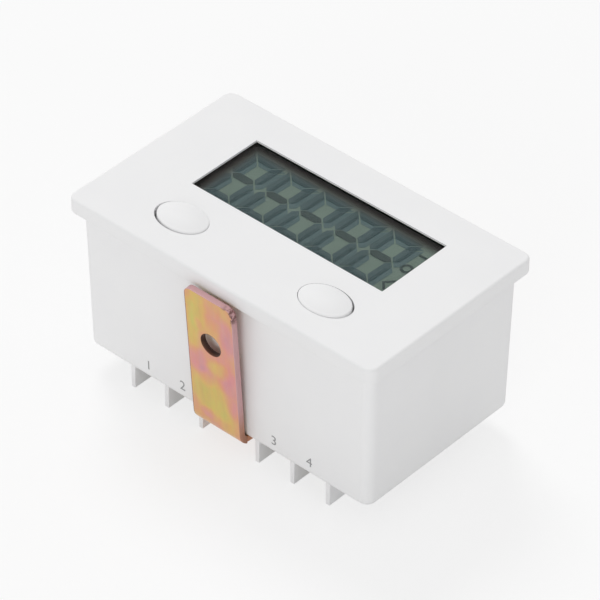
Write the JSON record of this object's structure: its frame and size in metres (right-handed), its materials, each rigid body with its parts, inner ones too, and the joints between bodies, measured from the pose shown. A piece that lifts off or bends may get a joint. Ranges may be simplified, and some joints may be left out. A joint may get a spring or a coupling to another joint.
{
  "type": "panel-mount digital counter",
  "caption": "White box-shaped panel counter with a sunken digit display, domed oval press keys, rear screw terminals between barrier fins and a bent clamp strap.",
  "frame": {"origin": "middle of the outline seen from the display side, at the height of the barrier fins' tips, on which the counter stands", "axes": "+Z out of the display face, +X along the row of digits from left to right, +Y towards the top of the digits; the terminals are on the -Y side"},
  "size_m": [0.064, 0.0414, 0.0352],
  "materials": {
    "housing_plastic": "fine satin",
    "key_plastic": "smooth",
    "display_glass": "polished",
    "polarizer_film": "smooth",
    "reflector_film": "satin",
    "black_plastic": "satin",
    "contact_rubber": "dull",
    "board_laminate": "solder mask",
    "chip_resin": "satin",
    "steel": "bright",
    "nickel_plate": "bright nickel",
    "brass": "turned",
    "zinc_chromate": "yellow and pink passivated zinc",
    "cell_sleeve": "shrink sleeve",
    "capacitor_sleeve": "shrink sleeve",
    "red_wire": "insulation",
    "black_wire": "insulation"
  },
  "bodies": {
    "case": {"front_bezel": "housing_plastic", "rear_housing": "housing_plastic", "lcd_polarizer": "polarizer_film", "lcd_front_glass": "display_glass", "lcd_rear_glass": "display_glass", "lcd_reflector": "reflector_film", "lcd_frame": "black_plastic", "elastomer_strip": "contact_rubber", "circuit_board": "board_laminate", "board_screw_1": "steel", "board_screw_2": "steel", "board_screw_3": "steel", "board_screw_4": "steel", "left_switch_body": "black_plastic", "right_switch_body": "black_plastic", "counter_chip": "chip_resin", "crystal": "steel", "filter_capacitor": "capacitor_sleeve", "battery_cell": "cell_sleeve", "battery_tab_negative": "nickel_plate", "battery_tab_positive": "nickel_plate", "terminal_plate_1": "nickel_plate", "terminal_plate_2": "nickel_plate", "terminal_plate_3": "nickel_plate", "terminal_plate_4": "nickel_plate", "terminal_nut_1": "brass", "terminal_nut_2": "brass", "terminal_nut_3": "brass", "terminal_nut_4": "brass", "terminal_lead_1": "red_wire", "terminal_lead_2": "black_wire", "terminal_lead_3": "red_wire", "terminal_lead_4": "black_wire", "bracket_insert": "brass"},
    "left_key": {"left_button": "key_plastic", "left_switch_plunger": "black_plastic"},
    "right_key": {"right_button": "key_plastic", "right_switch_plunger": "black_plastic"},
    "wire_clamp_1": {"terminal_washer_1": "nickel_plate"},
    "wire_clamp_2": {"terminal_washer_2": "nickel_plate"},
    "wire_clamp_3": {"terminal_washer_3": "nickel_plate"},
    "wire_clamp_4": {"terminal_washer_4": "nickel_plate"},
    "clamp_screw_1": {"terminal_screw_1": "nickel_plate"},
    "clamp_screw_2": {"terminal_screw_2": "nickel_plate"},
    "clamp_screw_3": {"terminal_screw_3": "nickel_plate"},
    "clamp_screw_4": {"terminal_screw_4": "nickel_plate"},
    "strap": {"mounting_bracket": "zinc_chromate", "bracket_washer": "nickel_plate"},
    "strap_screw": {"bracket_screw": "nickel_plate"}
  },
  "joints": [
    {"name": "left_key_press", "type": "slide", "parent": "case", "child": "left_key", "axis": [0, 0, -1], "range_m": [0, 0.0005], "stiffness_N_per_m": 400, "springref_m": -0.001},
    {"name": "right_key_press", "type": "slide", "parent": "case", "child": "right_key", "axis": [0, 0, -1], "range_m": [0, 0.0005], "stiffness_N_per_m": 400, "springref_m": -0.001},
    {"name": "wire_clamp_1_open", "type": "slide", "parent": "case", "child": "wire_clamp_1", "axis": [0, 0, -1], "range_m": [0, 0.001]},
    {"name": "wire_clamp_2_open", "type": "slide", "parent": "case", "child": "wire_clamp_2", "axis": [0, 0, -1], "range_m": [0, 0.001]},
    {"name": "wire_clamp_3_open", "type": "slide", "parent": "case", "child": "wire_clamp_3", "axis": [0, 0, -1], "range_m": [0, 0.001]},
    {"name": "wire_clamp_4_open", "type": "slide", "parent": "case", "child": "wire_clamp_4", "axis": [0, 0, -1], "range_m": [0, 0.001]},
    {"name": "clamp_screw_1_turn", "type": "hinge", "parent": "wire_clamp_1", "child": "clamp_screw_1", "pos_m": [-0.01667, -0.01109, 0.0016], "axis": [0, 0, -1], "range_deg": [0, 720]},
    {"name": "clamp_screw_2_turn", "type": "hinge", "parent": "wire_clamp_2", "child": "clamp_screw_2", "pos_m": [-0.00923, -0.01109, 0.0016], "axis": [0, 0, -1], "range_deg": [0, 720]},
    {"name": "clamp_screw_3_turn", "type": "hinge", "parent": "wire_clamp_3", "child": "clamp_screw_3", "pos_m": [0.01043, -0.01109, 0.0016], "axis": [0, 0, -1], "range_deg": [0, 720]},
    {"name": "clamp_screw_4_turn", "type": "hinge", "parent": "wire_clamp_4", "child": "clamp_screw_4", "pos_m": [0.01787, -0.01109, 0.0016], "axis": [0, 0, -1], "range_deg": [0, 720]},
    {"name": "strap_let_back", "type": "slide", "parent": "case", "child": "strap", "axis": [0, 0, -1], "range_m": [0, 0.0025]},
    {"name": "strap_screw_turn", "type": "hinge", "parent": "strap", "child": "strap_screw", "pos_m": [-0.00012, 0, 0.001], "axis": [0, 0, -1], "range_deg": [0, 1800]}
  ],
  "couplings": [
    {"joint": "clamp_screw_1_turn", "follows": "wire_clamp_1_open", "rad_per_m": 12566},
    {"joint": "clamp_screw_2_turn", "follows": "wire_clamp_2_open", "rad_per_m": 12566},
    {"joint": "clamp_screw_3_turn", "follows": "wire_clamp_3_open", "rad_per_m": 12566},
    {"joint": "clamp_screw_4_turn", "follows": "wire_clamp_4_open", "rad_per_m": 12566},
    {"joint": "strap_screw_turn", "follows": "strap_let_back", "rad_per_m": 12566}
  ]
}
